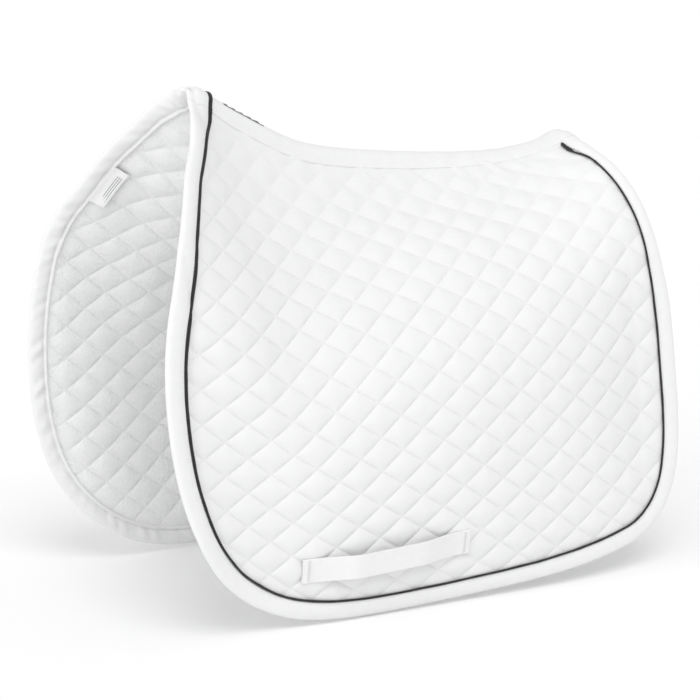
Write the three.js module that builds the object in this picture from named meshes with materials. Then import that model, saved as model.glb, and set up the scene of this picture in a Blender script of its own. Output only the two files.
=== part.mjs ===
// Dressage saddle pad: two quilted flaps joined by a plain band along the spine.
// Millimetres, +Z up. The horse faces -X, so -Y is its left (near) side.
// The origin is under the spine, where the pad rests on the horse's back.

import * as THREE from 'three';

// ---------------------------------------------------------------- driving dimensions

const spine_front_x = -200;        // crest of the front hem, over the withers
const spine_rear_x = 302;          // crest of the rear hem
const withers_rise = 85;           // rise of the spine towards the withers
const withers_length = 59;         // distance over which that rise dies away
const spine_fall = 0.115;          // steady fall of the spine towards the rear
const rear_lift = 26;              // upturn of the spine's rear end
const lift_power = 7.5;            // how late along the spine that upturn comes
const pattern_shrink = 0.88;       // the flat pattern's spine curve against the raised one

const crest_arc = 14;              // arc length of the rounded crest on each side
const front_drop = 19;             // the crest sinks this much at its front end,
const front_drop_length = 16.9;    // over this distance along it
const front_drop_reach = 70;       // and this far down the flaps
const wither_swell = 10.4;         // the crest stands this much higher over the withers,
const wither_swell_x = -133;       // about here,
const wither_swell_length = 54;    // over this distance along it
const wither_swell_reach = 95;     // and this far down the flaps
const band_half = 26;              // half width of the plain spine band, along its surface
const fold_gap = 6;                // free cloth between the band and each flap

const layer_half = 5;              // half thickness of the quilted sandwich
const hem_half = 3.2;              // the same where the hem tape squeezes it
const cover_thickness = 1.2;
const layer_gap = 0.3;
const hem_width = 20;              // width of the hem tape on each face
const tape_thickness = 1.2;
const tape_gap = 0.8;
const patch_gap = 1.2;             // under small pieces that lie across the quilting

const piping_radius = 2;
const piping_inset = 22;           // piping's centre line from the edge of the pad

const loop_x = -61;                // centre of the girth loop along the pad
const loop_v = 515;                // and down the flat pattern
const loop_fall = 0.044;           // its slope down towards the rear, in the flat pattern
const loop_length = 218;
const loop_width = 30;
const loop_rise = 10;              // standoff of the webbing's flat middle
const loop_flat = 70;              // length of that flat middle
const webbing_thickness = 1.4;

const label_arc = 240;             // care label: arc length at its upper end
const label_length = 52;
const label_width = 17;

const emblem_x = -168;             // stitched motif: its front end, across the crest
const emblem_length = 54;
const emblem_half = 7;             // half its width, along the surface

// Slope of the cloth below the horizontal, in degrees, against arc length from the crest.
// Between two arc stations the slope changes evenly, so each stretch is a circular arc.
const arc_stations = [0, crest_arc, 100, 220, 330, 450, 600];
const slope_stations = [-260, 0, 300];
const slope_ends = [-300, 310];
const slopes = [
  [0, 72, 73, 56, 62, 89, 89],
  [0, 69, 35, 49, 80, 93, 105],
  [0, 10, 38, 77, 82, 83, 91],
];

// ---------------------------------------------------------------- materials

function finish(color, roughness) {
  return new THREE.MeshStandardMaterial({ color, roughness, metalness: 0 });
}

const cotton = finish(0xf4f4f2, 0.85);
const foam = finish(0xe8e8e4, 0.95);
const terry = finish(0xdfe0e0, 0.95);
const tape = finish(0xf6f6f5, 0.7);
const black_cord = finish(0x151515, 0.6);
const webbing = finish(0xf2f2f2, 0.65);
const thread = finish(0xf0f0ee, 0.55);
const label_cloth = finish(0xf7f7f7, 0.5);
const embroidery = finish(0x2c2c30, 0.5);

// ---------------------------------------------------------------- the pad's surface

const spine_length = spine_rear_x - spine_front_x;
const front_slope = -withers_rise / withers_length - spine_fall;
const rear_slope = rear_lift * lift_power / spine_length - spine_fall
  - withers_rise / withers_length * Math.exp(-spine_length / withers_length);

// Curve of the spine. Beyond its ends it goes on along its tangents.
function spine_curve(x) {
  const along = THREE.MathUtils.clamp(x - spine_front_x, 0, spine_length);
  const ahead = Math.min(x - spine_front_x, 0) * front_slope;
  const behind = Math.max(x - spine_rear_x, 0) * rear_slope;
  return withers_rise * Math.exp(-along / withers_length) - spine_fall * along
    + rear_lift * (along / spine_length) ** lift_power + ahead + behind;
}

// Height of the spine against its height over the origin.
function spine_height(x) {
  return spine_curve(x) - spine_curve(0);
}

// How much higher the cloth stands near the crest than the spine's curve says.
function crest_shift(x, arc) {
  const at = THREE.MathUtils.clamp(x, spine_front_x - 10, spine_rear_x);
  const drop = front_drop * Math.exp(-(at - spine_front_x) / front_drop_length);
  const swell = wither_swell * Math.exp(-(((at - wither_swell_x) / wither_swell_length) ** 2));
  return swell * (1 - THREE.MathUtils.smoothstep(arc, 0, wither_swell_reach))
    - drop * (1 - THREE.MathUtils.smoothstep(arc, 0, front_drop_reach));
}

// Arc length from the crest at a point of the flat pattern (x along, v down).
function arc_of(x, v) {
  return v + pattern_shrink * spine_height(x);
}

function pattern_v(x, arc) {
  return arc - pattern_shrink * spine_height(x);
}

// Quadratic through the three slope stations, level beyond the ends of the pad.
function slope_at(station, at_x) {
  const x = THREE.MathUtils.clamp(at_x, slope_ends[0], slope_ends[1]);
  const [a, b, c] = slope_stations;
  const front = (x - b) * (x - c) / ((a - b) * (a - c));
  const middle = (x - a) * (x - c) / ((b - a) * (b - c));
  const rear = (x - a) * (x - b) / ((c - a) * (c - b));
  return THREE.MathUtils.degToRad(
    front * slopes[0][station] + middle * slopes[1][station] + rear * slopes[2][station]);
}

// Middle surface of the pad; side is -1 on the near flap and +1 on the far one.
function surface(x, arc, side) {
  let y = 0;
  let drop = 0;
  for (let k = 0; k + 1 < arc_stations.length; k += 1) {
    const last = k + 2 === arc_stations.length;
    const start = arc_stations[k];
    const length = arc_stations[k + 1] - start;
    const run = last ? arc - start : Math.min(arc - start, length);
    if (run <= 0) break;
    const from = slope_at(k, x);
    const turn = (slope_at(k + 1, x) - from) * run / length;
    const middle = from + turn / 2;
    const chord = Math.abs(turn) < 1e-6 ? run : run * Math.sin(turn / 2) / (turn / 2);
    y += chord * Math.cos(middle);
    drop += chord * Math.sin(middle);
  }
  const z = layer_half + spine_height(x) + crest_shift(x, arc) - drop;
  return new THREE.Vector3(x, side * y, z);
}

// Point at a height above (+) or under (-) the middle surface.
// A negative arc is on the near side of the crest and a positive one on the far side.
function point_at(x, arc, height) {
  const step = 1;
  const signed = (a) => surface(x, Math.abs(a), a < 0 ? -1 : 1);
  const across = signed(arc + step).sub(signed(arc - step));
  const ahead = surface(x + step, Math.abs(arc), arc < 0 ? -1 : 1);
  const behind = surface(x - step, Math.abs(arc), arc < 0 ? -1 : 1);
  const normal = ahead.sub(behind).cross(across).normalize();
  return signed(arc).addScaledVector(normal, height);
}

// ---------------------------------------------------------------- outline of a flap

// Hem of the near or far flap in the flat pattern, from the front crest round to the rear one.
function hem_curve() {
  const p = (x, v) => new THREE.Vector2(x, v);
  const front_crest = p(spine_front_x, pattern_v(spine_front_x, 0));
  const rear_crest = p(spine_rear_x, pattern_v(spine_rear_x, 0));
  const curve = new THREE.CurvePath();
  curve.add(new THREE.CubicBezierCurve(front_crest, p(-256, 34), p(-335, 148), p(-333, 306)));
  curve.add(new THREE.CubicBezierCurve(p(-333, 306), p(-331, 450), p(-285, 537), p(-159, 571)));
  curve.add(new THREE.CubicBezierCurve(p(-159, 571), p(-49, 601), p(142, 597), p(286, 565)));
  curve.add(new THREE.CubicBezierCurve(p(286, 565), p(356, 549), p(366, 476), p(365, 386)));
  curve.add(new THREE.CubicBezierCurve(p(365, 386), p(364, 298), p(366, 121), rear_crest));
  return curve;
}

const hem = hem_curve();
const hem_length = hem.getLength();

// Distance along the hem at which its arc length from the crest passes a value.
function hem_distance(arc, from_rear) {
  let low = 0;
  let high = 200;
  while (high - low > 0.01) {
    const middle = (low + high) / 2;
    const point = hem.getPointAt((from_rear ? hem_length - middle : middle) / hem_length);
    if (arc_of(point.x, point.y) < arc) low = middle;
    else high = middle;
  }
  return from_rear ? hem_length - low : low;
}

// A point of the hem and the direction into the pad, both in the flat pattern.
function hem_station(distance) {
  const share = THREE.MathUtils.clamp(distance / hem_length, 0, 1);
  const tangent = hem.getTangentAt(share);
  return { point: hem.getPointAt(share), inward: new THREE.Vector2(tangent.y, -tangent.x) };
}

const front_cells = 12;
const bottom_cells = 14;
const rear_cells = front_cells;
const front_corner = 0.305;        // share of the hem at which the front edge turns under
const rear_corner = 0.66;

const flap_arc = band_half + fold_gap;
const flap_stations = (() => {
  const start = hem_distance(flap_arc, false);
  const stop = hem_distance(flap_arc, true);
  const marks = [[start, front_corner * hem_length, front_cells],
    [front_corner * hem_length, rear_corner * hem_length, bottom_cells],
    [rear_corner * hem_length, stop, rear_cells]];
  const stations = [hem_station(start)];
  for (const [from, to, cells] of marks) {
    for (let k = 1; k <= cells; k += 1) stations.push(hem_station(from + (to - from) * k / cells));
  }
  // The hem's ends are cut along the fold, so their inward direction follows it.
  stations[0].inward.set(1, 0);
  stations[stations.length - 1].inward.set(-1, 0);
  return stations;
})();

// ---------------------------------------------------------------- solids

// Signed volume of an indexed closed surface.
function signed_volume(points, triangles) {
  let volume = 0;
  const cross = new THREE.Vector3();
  for (const [a, b, c] of triangles) volume += points[a].dot(cross.crossVectors(points[b], points[c]));
  return volume / 6;
}

function closed_mesh(name, material, points, triangles) {
  const outward = signed_volume(points, triangles) > 0;
  const index = triangles.flatMap(([a, b, c]) => (outward ? [a, b, c] : [a, c, b]));
  const geometry = new THREE.BufferGeometry().setFromPoints(points);
  geometry.setIndex(index);
  geometry.computeVertexNormals();
  const mesh = new THREE.Mesh(geometry, material);
  mesh.name = name;
  return mesh;
}

// Solid between two copies of a sheet: quads over shared vertices, edge is its closed rim.
function sheet_mesh(name, material, sheet, place, low, high) {
  const count = sheet.vertices.length;
  const points = [...sheet.vertices.map((vertex) => place(vertex, high)),
    ...sheet.vertices.map((vertex) => place(vertex, low))];
  const triangles = [];
  for (const [a, b, c, d] of sheet.quads) {
    triangles.push([a, b, c], [a, c, d]);
    triangles.push([count + a, count + c, count + b], [count + a, count + d, count + c]);
  }
  sheet.rim.forEach((a, k) => {
    const b = sheet.rim[(k + 1) % sheet.rim.length];
    triangles.push([b, a, count + a], [b, count + a, count + b]);
  });
  return closed_mesh(name, material, points, triangles);
}

// Solid swept through rings that follow one outline, closed by a cap at each end.
// Each cell is split from its lower x on one ring, as the sheets under a hem tape are.
function swept_mesh(name, material, rings, outline) {
  const sides = rings[0].length;
  const points = rings.flat();
  const triangles = [];
  for (let k = 0; k + 1 < rings.length; k += 1) {
    for (let i = 0; i < sides; i += 1) {
      const next = (i + 1) % sides;
      const a = k * sides + i;
      const b = k * sides + next;
      if (outline[next].x < outline[i].x) triangles.push([a, b, a + sides], [b, b + sides, a + sides]);
      else triangles.push([a, b, b + sides], [a, b + sides, a + sides]);
    }
  }
  const far = (rings.length - 1) * sides;
  for (const [a, b, c] of THREE.ShapeUtils.triangulateShape(outline, [])) {
    triangles.push([a, c, b], [far + a, far + b, far + c]);
  }
  return closed_mesh(name, material, points, triangles);
}

// ---------------------------------------------------------------- a flap's layers

// Grid over the flap in the flat pattern, blended from its four sides inside the hem tape,
// with one more ring of cells out to the hem.
function flap_sheet() {
  const rim = flap_stations.map((station) => station.point);
  const inner = flap_stations.map((station) => station.point.clone()
    .addScaledVector(station.inward, hem_width));
  inner[0].y = pattern_v(inner[0].x, flap_arc);
  inner[inner.length - 1].y = pattern_v(inner[inner.length - 1].x, flap_arc);
  const left = inner.slice(0, front_cells + 1);
  const bottom = inner.slice(front_cells, front_cells + bottom_cells + 1);
  const right = inner.slice(front_cells + bottom_cells).reverse();
  const top = bottom.map((_, i) => {
    const x = THREE.MathUtils.lerp(left[0].x, right[0].x, i / bottom_cells);
    return new THREE.Vector2(x, pattern_v(x, flap_arc));
  });
  const vertices = [];
  const cell = (i, j) => j * (bottom_cells + 1) + i;
  for (let j = 0; j <= front_cells; j += 1) {
    for (let i = 0; i <= bottom_cells; i += 1) {
      const s = i / bottom_cells;
      const w = j / front_cells;
      const blend = new THREE.Vector2()
        .addScaledVector(top[i], 1 - w).addScaledVector(bottom[i], w)
        .addScaledVector(left[j], 1 - s).addScaledVector(right[j], s)
        .addScaledVector(left[0], -(1 - s) * (1 - w)).addScaledVector(right[0], -s * (1 - w))
        .addScaledVector(bottom[0], -(1 - s) * w).addScaledVector(bottom[bottom_cells], -s * w);
      vertices.push({ x: blend.x, v: blend.y, squeeze: 0 });
    }
  }
  const quads = [];
  for (let j = 0; j < front_cells; j += 1) {
    for (let i = 0; i < bottom_cells; i += 1) {
      quads.push([cell(i, j), cell(i + 1, j), cell(i + 1, j + 1), cell(i, j + 1)]);
    }
  }
  const along_rim = rim.map((_, k) => {
    if (k <= front_cells) return cell(0, k);
    if (k <= front_cells + bottom_cells) return cell(k - front_cells, front_cells);
    return cell(bottom_cells, front_cells + bottom_cells + rear_cells - k);
  });
  const first = vertices.length;
  for (const point of rim) vertices.push({ x: point.x, v: point.y, squeeze: 1 });
  for (let k = 0; k + 1 < rim.length; k += 1) {
    quads.push([first + k, along_rim[k], along_rim[k + 1], first + k + 1]);
  }
  const fold = Array.from({ length: bottom_cells + 1 }, (_, i) => cell(bottom_cells - i, 0));
  return { vertices, quads, rim: [...rim.map((_, k) => first + k), ...fold].reverse() };
}

const flap = flap_sheet();

// Places a pattern point at a share (-1 to 1) of the local half thickness, plus a lift.
function place_on(side) {
  return (vertex, level) => {
    const half = THREE.MathUtils.lerp(layer_half, hem_half, vertex.squeeze);
    const height = level.share * half + level.lift;
    return point_at(vertex.x, side * arc_of(vertex.x, vertex.v), height);
  };
}

const outer_face = { share: 1, lift: 0 };
const cover_back = { share: 1, lift: -cover_thickness };
const padding_face = { share: 1, lift: -cover_thickness - layer_gap };
const padding_back = { share: -1, lift: cover_thickness + layer_gap };
const lining_face = { share: -1, lift: cover_thickness };
const inner_face = { share: -1, lift: 0 };

function layers(prefix, sheet, place, names) {
  const [cover, filling, lining] = names;
  return [
    sheet_mesh(prefix + cover.name, cover.material, sheet, place, cover_back, outer_face),
    sheet_mesh(prefix + filling.name, filling.material, sheet, place, padding_back, padding_face),
    sheet_mesh(prefix + lining.name, lining.material, sheet, place, inner_face, lining_face),
  ];
}

const flap_layers = [
  { name: '_outer_cover', material: cotton },
  { name: '_padding', material: foam },
  { name: '_lining', material: terry },
];

// ---------------------------------------------------------------- hem tape and piping

// Section of the folded hem tape: distance in from the edge against height.
const hem_section = (() => {
  const leg = layer_half + tape_gap;
  const nose = hem_half + tape_gap;
  const t = tape_thickness;
  return [[hem_width - 1, leg + t], [-2.1, nose + t], [-3.3, nose - 1], [-3.3, 1 - nose],
    [-2.1, -nose - t], [hem_width - 1, -leg - t], [hem_width - 1, -leg], [-0.8, -nose],
    [-0.8, nose], [hem_width - 1, leg]].map(([inset, height]) => new THREE.Vector2(inset, height));
})();

const piping_section = Array.from({ length: 6 }, (_, k) => {
  const angle = k * Math.PI / 3;
  return new THREE.Vector2(piping_inset + piping_radius * Math.cos(angle),
    layer_half + tape_gap + piping_radius * (1 + Math.sin(angle)));
});

// Sweeps a section of (distance in from the edge, height) along hem stations of one flap.
function hem_mesh(name, material, section, side) {
  const last = flap_stations.length - 1;
  const rings = flap_stations.map((station, k) => section.map(({ x: inset, y: height }) => {
    const flat = station.point.clone().addScaledVector(station.inward, inset);
    const on_fold = k === 0 || k === last;
    const arc = on_fold ? flap_arc : arc_of(flat.x, flat.y);
    return point_at(flat.x, side * arc, height);
  }));
  return swept_mesh(name, material, rings, section);
}

// ---------------------------------------------------------------- girth loop

// Webbing sewn down at both ends, standing off the flap between them so a girth passes through.
function girth_loop(name, side) {
  const foot = loop_length / 2;
  const stations = [-foot, -foot + 18, -loop_flat / 2 - 16, -loop_flat / 2,
    loop_flat / 2, loop_flat / 2 + 16, foot - 18, foot];
  const rises = [0, 0, loop_rise - 1.2, loop_rise, loop_rise, loop_rise - 1.2, 0, 0];
  const base = layer_half + tape_gap;
  const square = [[-1, 0], [1, 0], [1, 1], [-1, 1]];
  const on_flap = (distance, across, height) => {
    const x = loop_x + distance;
    return point_at(x, side * arc_of(x, loop_v + loop_fall * distance + across), height);
  };
  const centre = on_flap(0, 0, 0);
  const outward = on_flap(0, 0, 1).sub(centre).normalize();
  const along = on_flap(1, 0, 0).sub(on_flap(-1, 0, 0)).normalize();
  const down = new THREE.Vector3().crossVectors(outward, along).multiplyScalar(side);
  const rings = stations.map((distance, k) => square.map(([half, level]) => {
    // The middle is one plane; the rest follows the flap.
    if (Math.abs(distance) <= loop_flat / 2) {
      return centre.clone().addScaledVector(along, distance)
        .addScaledVector(down, half * loop_width / 2)
        .addScaledVector(outward, base + loop_rise + level * webbing_thickness);
    }
    return on_flap(distance, half * loop_width / 2, base)
      .addScaledVector(outward, rises[k] + level * webbing_thickness);
  }));
  const cap = square.map(([a, b]) => new THREE.Vector2(a, b));
  return swept_mesh(name, webbing, rings, cap);
}

// ---------------------------------------------------------------- small sewn pieces

// Evenly spaced values from one number to another.
function spread(from, to, cells) {
  return Array.from({ length: cells + 1 }, (_, k) => THREE.MathUtils.lerp(from, to, k / cells));
}

// Cells of a sheet from its rows of points on the pad, which are equally long.
function grid_sheet(rows) {
  const vertices = rows.flat();
  const wide = rows[0].length - 1;
  const deep = rows.length - 1;
  const at = (i, j) => j * (wide + 1) + i;
  const quads = [];
  const rim = [];
  for (let j = 0; j < deep; j += 1) {
    for (let i = 0; i < wide; i += 1) quads.push([at(i, j), at(i + 1, j), at(i + 1, j + 1), at(i, j + 1)]);
  }
  for (let i = 0; i < wide; i += 1) rim.push(at(i, 0));
  for (let j = 0; j < deep; j += 1) rim.push(at(wide, j));
  for (let i = wide; i > 0; i -= 1) rim.push(at(i, deep));
  for (let j = deep; j > 0; j -= 1) rim.push(at(0, j));
  return { vertices, quads, rim };
}

const place_height = (vertex, height) => point_at(vertex.x, vertex.arc, height);

// Bar tack across each end of the girth loop, a solid bar of thread on the webbing.
function loop_tack(name, side, end) {
  const distance = end * (loop_length / 2 - 8);
  const middle = arc_of(loop_x + distance, loop_v + loop_fall * distance);
  const base = layer_half + tape_gap + webbing_thickness + layer_gap;
  const half_length = loop_width / 2 - 3;
  const sheet = grid_sheet(spread(middle - half_length, middle + half_length, 2)
    .map((arc) => [-1.5, 1.5].map((x) => ({ x: loop_x + distance + x, arc: side * arc }))));
  return sheet_mesh(name, thread, sheet, place_height, base, base + 0.8);
}

// Label along the inside of the far flap's front hem.
function care_label() {
  const start = hem_distance(label_arc, false);
  const sheet = grid_sheet(spread(start, start + label_length, 3).map((distance) => {
    const station = hem_station(distance);
    return spread(hem_width, hem_width + label_width, 2).map((inset) => {
      const flat = station.point.clone().addScaledVector(station.inward, inset);
      return { x: flat.x, arc: arc_of(flat.x, flat.y) };
    });
  }));
  return sheet_mesh('care_label', label_cloth, sheet, place_height,
    -layer_half - patch_gap - 0.6, -layer_half - patch_gap);
}

function withers_emblem() {
  const sheet = grid_sheet(spread(-emblem_half, emblem_half, 6)
    .map((arc) => spread(emblem_x, emblem_x + emblem_length, 6).map((x) => ({ x, arc }))));
  const base = layer_half + patch_gap;
  return sheet_mesh('withers_emblem', embroidery, sheet, place_height, base, base + 0.8);
}

// ---------------------------------------------------------------- spine

const front_at_band = hem.getPointAt(hem_distance(band_half, false) / hem_length).x;
const rear_at_band = hem.getPointAt(hem_distance(band_half, true) / hem_length).x;
const band_cells = 8;

function front_edge(arc) {
  return THREE.MathUtils.lerp(spine_front_x, front_at_band, Math.abs(arc) / band_half);
}

function rear_edge(arc) {
  return THREE.MathUtils.lerp(spine_rear_x, rear_at_band, Math.abs(arc) / band_half);
}

// The band's columns stand closer together where the withers curve.
function band_sheet() {
  return grid_sheet(spread(-band_half, band_half, band_cells).map((arc) => {
    const inside_front = front_edge(arc) + hem_width;
    const inside_rear = rear_edge(arc) - hem_width;
    const columns = [front_edge(arc), ...spread(inside_front, -60, 6),
      ...spread(-20, inside_rear, 8), rear_edge(arc)];
    return columns.map((x) => ({ x, arc }));
  }));
}

const place_band = (vertex, level) => point_at(
  vertex.x, vertex.arc, level.share * layer_half + level.lift);

const spine_layers = [
  { name: '_outer_band', material: cotton },
  { name: '_padding', material: foam },
  { name: '_seam_tape', material: tape },
];

// Hem tape or piping where it crosses the crest, from one side of the band to the other.
function crest_mesh(name, material, section, edge, inward) {
  const lift = layer_half - hem_half;
  const rings = Array.from({ length: band_cells + 1 }, (_, k) => {
    const arc = THREE.MathUtils.lerp(-band_half, band_half, k / band_cells);
    return section.map(({ x: inset, y: height }) => {
      const raised = inset < 0 ? height + Math.sign(height) * lift : height;
      return point_at(edge(arc) + inward * inset, arc, raised);
    });
  });
  return swept_mesh(name, material, rings, section);
}

// ---------------------------------------------------------------- assembly

function build_spine() {
  const group = new THREE.Group();
  group.add(...layers('spine', band_sheet(), place_band, spine_layers));
  group.add(crest_mesh('front_crest_binding', tape, hem_section, front_edge, 1));
  group.add(crest_mesh('rear_crest_binding', tape, hem_section, rear_edge, -1));
  group.add(crest_mesh('front_crest_piping', black_cord, piping_section, front_edge, 1));
  group.add(withers_emblem());
  return group;
}

function build_flap(prefix, side) {
  const group = new THREE.Group();
  group.add(...layers(prefix, flap, place_on(side), flap_layers));
  group.add(hem_mesh(prefix + '_binding', tape, hem_section, side));
  group.add(hem_mesh(prefix + '_piping', black_cord, piping_section, side));
  group.add(girth_loop(prefix + '_girth_loop', side));
  group.add(loop_tack(prefix + '_loop_tack_front', side, -1));
  group.add(loop_tack(prefix + '_loop_tack_rear', side, 1));
  return group;
}

const saddle_pad = new THREE.Group();
saddle_pad.add(build_spine());
saddle_pad.add(build_flap('left', -1));
saddle_pad.add(build_flap('right', 1));
saddle_pad.add(care_label());

export default saddle_pad;
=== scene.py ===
"""Quilted dressage saddle pad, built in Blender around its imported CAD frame.

The pad is one curved surface. A point on it is (x along the horse, arc length from the
spine crest); a negative arc is the near, left flap. Its flat pattern has the same x and a
depth v. Sizes are in millimetres, and make_piece turns them into metres.
"""
import math

import bpy
import numpy as np
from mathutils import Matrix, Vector


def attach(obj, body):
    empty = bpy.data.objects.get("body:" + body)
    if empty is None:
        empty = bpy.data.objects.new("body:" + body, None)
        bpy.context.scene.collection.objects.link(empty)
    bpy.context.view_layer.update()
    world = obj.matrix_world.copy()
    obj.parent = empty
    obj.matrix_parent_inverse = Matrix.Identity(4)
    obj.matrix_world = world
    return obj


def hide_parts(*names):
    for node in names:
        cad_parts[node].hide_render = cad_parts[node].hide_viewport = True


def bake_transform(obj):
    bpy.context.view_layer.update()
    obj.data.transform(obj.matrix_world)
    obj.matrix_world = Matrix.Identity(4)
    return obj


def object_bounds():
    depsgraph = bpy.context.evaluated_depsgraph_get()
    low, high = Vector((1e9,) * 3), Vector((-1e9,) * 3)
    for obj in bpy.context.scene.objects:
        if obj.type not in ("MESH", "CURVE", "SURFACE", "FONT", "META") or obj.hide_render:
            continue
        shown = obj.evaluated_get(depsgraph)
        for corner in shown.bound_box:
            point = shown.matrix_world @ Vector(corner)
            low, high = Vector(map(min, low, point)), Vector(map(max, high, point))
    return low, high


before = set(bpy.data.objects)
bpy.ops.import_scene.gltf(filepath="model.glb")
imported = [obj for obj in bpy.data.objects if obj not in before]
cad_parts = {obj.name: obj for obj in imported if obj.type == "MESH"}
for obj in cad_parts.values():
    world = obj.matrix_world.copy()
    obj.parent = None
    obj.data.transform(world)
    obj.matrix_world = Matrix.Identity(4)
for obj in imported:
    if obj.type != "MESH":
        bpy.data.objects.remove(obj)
cad_low, cad_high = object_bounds()

# ---- driving dimensions

MM = 0.001
SIDES = {"left": -1, "right": 1}

# The pad's surface, as in the CAD: the spine's curve seen from the side, and the slope in
# degrees at stations along the arc, for three stations along the horse.
SPINE_FRONT_X = -200
SPINE_REAR_X = 302
WITHERS_RISE = 85
WITHERS_LENGTH = 59
SPINE_FALL = 0.115
REAR_LIFT = 26
LIFT_POWER = 7.5
PATTERN_SHRINK = 0.88
FRONT_DROP = 19
FRONT_DROP_LENGTH = 16.9
FRONT_OVERRUN = 10
WITHER_SWELL = 10.4
WITHER_SWELL_X = -133
WITHER_SWELL_LENGTH = 54
WITHER_SWELL_REACH = 95
BAND_HALF = 26
LAYER_HALF = 5
ARC_STATIONS = (0, 14, 100, 220, 330, 450, 600)
SLOPE_STATIONS = (-260, 0, 300)
SLOPE_ENDS = (-300, 310)
SLOPES = ((0, 72, 73, 56, 62, 89, 89), (0, 69, 35, 49, 80, 93, 105), (0, 10, 38, 77, 82, 83, 91))

# How the cloth departs from the CAD's surface, in which both flaps are alike. Ramps are
# (start, end), and a window is a ramp up and a ramp down.
NEAR_DROP_REACH = 100  # the front drop fades out this far down
FAR_DROP_REACH = 66
FAR_LIFT = 11  # the far flap's front is raised
FAR_LIFT_ARCS = ((40, 120), (190, 330))
FAR_LIFT_X = (-240, -120)
FAR_REAR_DROP = 9  # the far flap beside the rear crest is lowered
FAR_REAR_ARCS = ((5, 40), (120, 260))
FAR_REAR_X = (230, 290)

# How the hem departs from the CAD's outline, by distance along it from either crest.
CREST_REACH = 6  # forward over the front crest
RIM_REACH = 3  # and the tape's rim this much further
REAR_REACH = 16  # back over the rear crest
CREST_RAMP = (0, 45)
NEAR_SWING = 3  # the near flap's tape and piping move into the pad
SWING_WINDOW = ((25, 60), (90, 150))
RIM_NARROWING = 5  # the near flap's tape is narrower down its front,
NARROW_WINDOW = ((40, 100), (190, 300))
REAR_NARROWING = 6  # and below the rear crest
REAR_NARROW_WINDOW = ((25, 75), (170, 300))
RIM_MOST = 1.2  # the share of a rim's move at the tape's folded edge
NEAR_TURN = 70  # by here the inset is square with the hem, not along the spine
FAR_TURN = 38

# Quilting: diamonds in the flat pattern, half a diamond wide and high.
DIAMOND_HALF_WIDTH = 27.5
DIAMOND_HALF_HEIGHT = 20.1
CELL_SIDE = math.hypot(DIAMOND_HALF_WIDTH, DIAMOND_HALF_HEIGHT)
QUILT_START = {-1: (-236.3, 369.5), 1: (-205.5, 382.3)}
PUFF = 3.6
PUFF_FOOT = 1.6
CROWN_POWER = 0.75
CREST_POWER = 1.25

# Hem tape, piping and stitches.
HEM_WIDTH = 19.5
PIPING_INSET = 22
PIPING_RADIUS = 1.95
PIPING_REAR_RADIUS = 1.3
PIPING_THINNING = (300, 900)
PIPING_SINK = 0.6
PIPING_HEIGHT = 4.4
NEAR_PIPING_END = 30
FAR_PIPING_END = 125
END_KNOT = 0.75
END_DIP = 3.0
STITCH_LENGTH = 3.0
STITCH_PITCH = 4.2
STITCH_RADIUS = 0.42
OUTSIDE_STITCHES = (17.0, 4.3)  # inset from the hem, height over the middle surface
LIP_STITCHES = (14.6, 3.7)
TAPE_STEP = 2.6
PIPING_RINGS = 1000
CREST_RINGS = 24
CREST_RING_STEP = 1.3

# Girth loop.
LOOP_X = -61
LOOP_V = 515
LOOP_FALL = 0.044
LOOP_LENGTH = 218
LOOP_WIDTH = 30
LOOP_RISE = 10
LOOP_FLAT = 70
LOOP_STEP = 0.55
LOOP_BASE = LAYER_HALF + 0.4
LOOP_BEND = (LOOP_FLAT / 2, LOOP_FLAT / 2 + 24)
LOOP_LANDING = (32, LOOP_LENGTH / 2 - 14)
LOOP_SINK = 0.5
LOOP_SINKING = (85, 105)
WEBBING_TOP = 1.2
RIB_PITCH = 2.2
RIB_HEIGHT = 0.09
END_FOLD = 0.8
END_FOLD_RAMP = (LOOP_LENGTH / 2 - 9.5, LOOP_LENGTH / 2 - 8.5)
TACK_INSET = 7.5
TACK_PITCH = 1.15
TACK_HEIGHT = 2.35
TACK_LENGTH = 3.4
TACK_RADIUS = 0.5

# Care label.
LABEL_ARC = 246
LABEL_LENGTH = 52
LABEL_WIDTH = 17
LABEL_TUCK = 4
LABEL_INSET = 16
LABEL_GRID = (40, 30)
LABEL_HALF_THICKNESS = 0.3
LABEL_LIFT = 1.2
LABEL_CURL = 3.2

# Stitched motif on the crest.
MOTIF_X = -168
MOTIF_LENGTH = 54
LOZENGE_START = 6
LOZENGES = 5
LOZENGE_PITCH = 10.5
LOZENGE_HALF = 4.2
LOZENGE_ARC = 1.0
LOZENGE_WIDTH = 9.6
LINE_PITCH = 0.8
LINE_ARC = -5.2
LINE_WIDTH = 1.8
SATIN_PITCH = 0.75
SATIN_RADIUS = 0.48
MOTIF_LIFT = 0.15

# Camera: degrees round and up, metres, and the lens in millimetres.
CAMERA_TURN = 31.68
CAMERA_RISE = 13.45
CAMERA_TARGET = (0.0103, 0, -0.2404)
CAMERA_DISTANCE = 3.911
CAMERA_LENS = 166.1

# Studio, in metres. A sun has a direction towards it, a strength and a width in degrees.
FLOOR_GAP = 0.002
FLOOR_HALF = 30
SKY_STRENGTH = 0.72
SUNS = {"key": ((-0.3, -0.8, 1.25), 0.95, 34), "front": ((-1.0, -0.22, 0.3), 0.75, 50)}


# ---- the pad's surface

SPINE_LENGTH = SPINE_REAR_X - SPINE_FRONT_X
FRONT_SLOPE = -WITHERS_RISE / WITHERS_LENGTH - SPINE_FALL
REAR_SLOPE = (REAR_LIFT * LIFT_POWER / SPINE_LENGTH - SPINE_FALL
              - WITHERS_RISE / WITHERS_LENGTH * math.exp(-SPINE_LENGTH / WITHERS_LENGTH))


def smooth(value, low, high):
    t = np.clip((value - low) / (high - low), 0, 1)
    return t * t * (3 - 2 * t)


def window(value, ramps):
    """0, rising to 1 over the first ramp and falling to 0 again over the second."""
    rise, fall = ramps
    return smooth(value, *rise) * (1 - smooth(value, *fall))


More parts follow.
